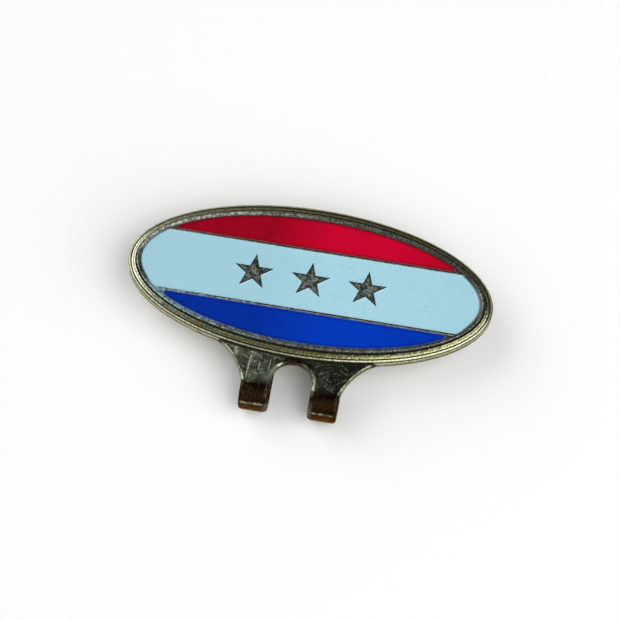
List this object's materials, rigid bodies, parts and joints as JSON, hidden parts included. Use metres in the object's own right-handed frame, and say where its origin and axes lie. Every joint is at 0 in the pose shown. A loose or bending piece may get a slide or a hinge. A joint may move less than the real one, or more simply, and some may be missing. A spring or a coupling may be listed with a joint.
{
  "type": "ball marker",
  "caption": "Oval golf ball marker with striped enamel, lying on a magnet in the tray of a bent sheet clip whose sprung tongue grips a cap's brim.",
  "frame": {"origin": "middle of the part's outline, on the surface that it lies on with its face up", "axes": "+X along the oval, +Y from the legs to the oval, +Z out of the marker's face"},
  "size_m": [0.04, 0.024, 0.0047],
  "materials": {
    "clip_metal": "worn pale gold plate, scratched on the legs",
    "magnet_nickel": "bright nickel plate",
    "adhesive": "dull cured glue",
    "marker_metal": "tarnished nickel plate",
    "red_enamel": "glossy recessed enamel",
    "white_enamel": "glossy recessed enamel, pale blue-white",
    "blue_enamel": "glossy recessed enamel"
  },
  "bodies": {
    "clip": {"clip_plate": "clip_metal", "magnet": "magnet_nickel", "magnet_adhesive": "adhesive"},
    "tongue": {"spring_tongue": "clip_metal"},
    "marker": {"marker_base": "marker_metal", "red_enamel": "red_enamel", "white_enamel": "white_enamel", "blue_enamel": "blue_enamel"}
  },
  "joints": [
    {"name": "tongue_flex", "type": "hinge", "parent": "clip", "child": "tongue", "pos_m": [0, -0.00999, 0.0004], "axis": [-1, 0, 0], "range_deg": [0, 12], "stiffness_Nm_per_rad": 0.27},
    {"name": "marker_lift", "type": "slide", "parent": "clip", "child": "marker", "axis": [0, 0, 1], "range_m": [0, 0.02]}
  ]
}
